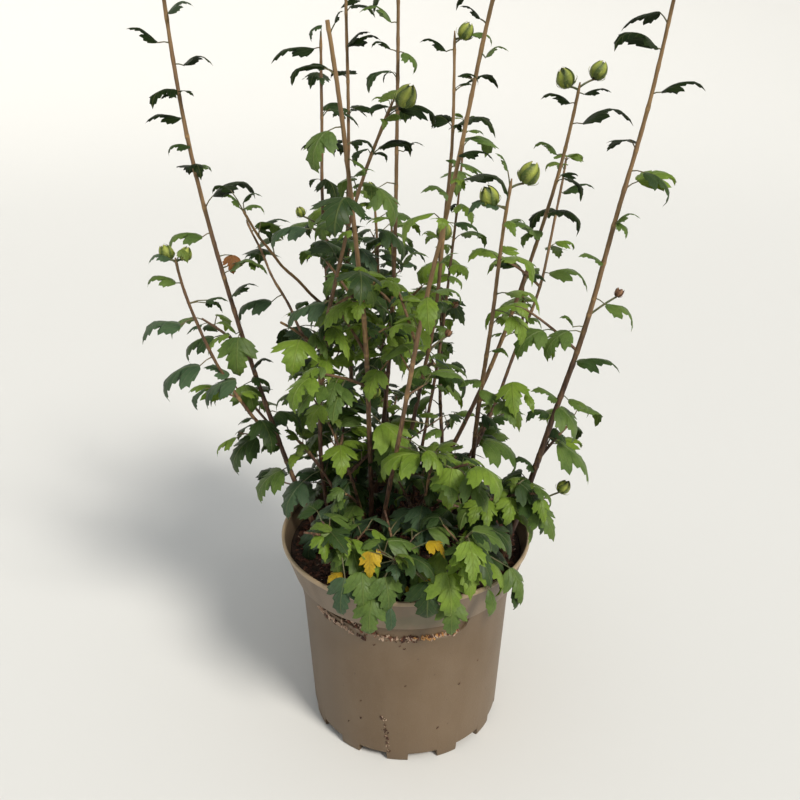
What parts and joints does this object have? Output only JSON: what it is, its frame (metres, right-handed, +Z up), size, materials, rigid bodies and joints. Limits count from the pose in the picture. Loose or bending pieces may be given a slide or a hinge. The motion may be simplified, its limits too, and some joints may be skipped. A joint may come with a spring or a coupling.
{
  "type": "potted hibiscus shrub",
  "caption": "Upright hibiscus shrub with slim canes, lobed leaves and closed green buds, in a round brown nursery pot.",
  "frame": {"origin": "middle of the flat underside of the pot, on the surface that it stands on", "axes": "+Z up, the tallest extent of the shrub; the picture looks along +Y, with +X to its right"},
  "size_m": [0.5617, 0.4918, 0.9551],
  "materials": {
    "pot": "dusty brown moulded plastic, satin, with scuffs and crumbs of compost",
    "compost": "moist compost under dark reddish bark chips",
    "cane": "smooth brown bark, tan at the joints and green towards the tips",
    "leaf": "living leaves, buds and green twigs with a soft sheen"
  },
  "bodies": {
    "root": {"cane_back_left": "cane", "cane_back_middle": "cane", "cane_back_right": "cane", "cane_back_tall": "cane", "cane_back_thin": "cane", "cane_far_left": "cane", "cane_far_right": "cane", "cane_front_tall": "cane", "cane_inner_front": "cane", "cane_inner_left": "cane", "cane_left_cross": "cane", "cane_left_inner": "cane", "cane_left_low": "cane", "cane_left_middle": "cane", "cane_low_back": "cane", "cane_low_back_left": "cane", "cane_low_back_right": "cane", "cane_low_front": "cane", "cane_low_front_left": "cane", "cane_low_front_right": "cane", "cane_low_left": "cane", "cane_low_right": "cane", "cane_middle_right": "cane", "cane_middle_tall": "cane", "cane_pruned": "cane", "cane_right_back": "cane", "cane_right_long": "cane", "cane_right_short": "cane", "compost": "compost", "leaves_back_left": "leaf", "leaves_back_middle": "leaf", "leaves_back_right": "leaf", "leaves_back_tall": "leaf", "leaves_back_thin": "leaf", "leaves_far_left": "leaf", "leaves_far_right": "leaf", "leaves_front_tall": "leaf", "leaves_inner_front": "leaf", "leaves_inner_left": "leaf", "leaves_left_cross": "leaf", "leaves_left_inner": "leaf", "leaves_left_low": "leaf", "leaves_left_middle": "leaf", "leaves_low_back": "leaf", "leaves_low_back_left": "leaf", "leaves_low_back_right": "leaf", "leaves_low_front": "leaf", "leaves_low_front_left": "leaf", "leaves_low_front_right": "leaf", "leaves_low_left": "leaf", "leaves_low_right": "leaf", "leaves_middle_right": "leaf", "leaves_middle_tall": "leaf", "leaves_pruned": "leaf", "leaves_right_back": "leaf", "leaves_right_long": "leaf", "leaves_right_short": "leaf", "pot": "pot"}
  },
  "joints": []
}
